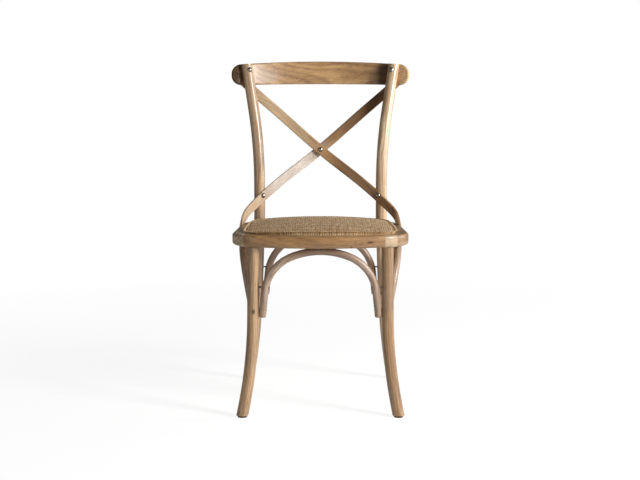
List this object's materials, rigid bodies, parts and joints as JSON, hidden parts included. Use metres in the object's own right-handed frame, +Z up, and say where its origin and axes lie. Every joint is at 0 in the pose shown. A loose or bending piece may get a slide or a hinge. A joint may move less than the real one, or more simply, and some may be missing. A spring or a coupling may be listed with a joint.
{
  "type": "cross back chair",
  "caption": "Bentwood dining chair with a crossed-strap back, curved crest rail, woven rattan drop-in seat and arched braces between splayed round legs.",
  "frame": {"origin": "on the floor, at the middle of the chair's outer box seen from above", "axes": "+Z up, -Y the way the sitter faces, +X to the right of someone who looks at the chair's front"},
  "size_m": [0.489, 0.5119, 0.895],
  "materials": {
    "leg_wood": "weathered oil, satin",
    "crest_wood": "weathered oil, satin",
    "strap_wood": "weathered oil, satin",
    "ring_wood": "weathered oil, satin",
    "block_wood": "weathered oil, satin",
    "arch_wood": "weathered oil, satin",
    "rattan": "woven rattan, matt",
    "plywood": "raw birch plywood",
    "foam": "cream foam",
    "beech_dowel": "raw beech",
    "dark_bolt": "antiqued steel",
    "plain_steel": "zinc plated",
    "glide_plastic": "dark brown"
  },
  "bodies": {
    "root": {"left_rear_leg": "leg_wood", "right_rear_leg": "leg_wood", "left_front_leg": "leg_wood", "right_front_leg": "leg_wood", "crest_rail": "crest_wood", "front_cross_strap": "strap_wood", "rear_cross_strap": "strap_wood", "seat_front_rail": "ring_wood", "seat_rear_rail": "ring_wood", "left_side_rail": "ring_wood", "right_side_rail": "ring_wood", "left_corner_block": "block_wood", "right_corner_block": "block_wood", "front_arch": "arch_wood", "rear_arch": "arch_wood", "left_arch": "arch_wood", "right_arch": "arch_wood", "rattan_mat": "rattan", "seat_board": "plywood", "seat_padding": "foam", "seat_ring_dowels": "beech_dowel", "front_leg_pins": "beech_dowel", "crest_bolts": "dark_bolt", "crest_nuts": "dark_bolt", "strap_post_bolts": "dark_bolt", "strap_post_nuts": "dark_bolt", "crossing_bolt": "dark_bolt", "crossing_nut": "dark_bolt", "rear_leg_bolts": "dark_bolt", "rear_leg_washers": "plain_steel", "rear_leg_nuts": "plain_steel", "strap_top_screws": "plain_steel", "strap_foot_screws": "plain_steel", "arch_end_screws": "plain_steel", "arch_crown_screws": "plain_steel", "seat_board_screws": "plain_steel", "glide_nails": "plain_steel", "left_front_glide": "glide_plastic", "right_front_glide": "glide_plastic", "left_rear_glide": "glide_plastic", "right_rear_glide": "glide_plastic"}
  },
  "joints": []
}
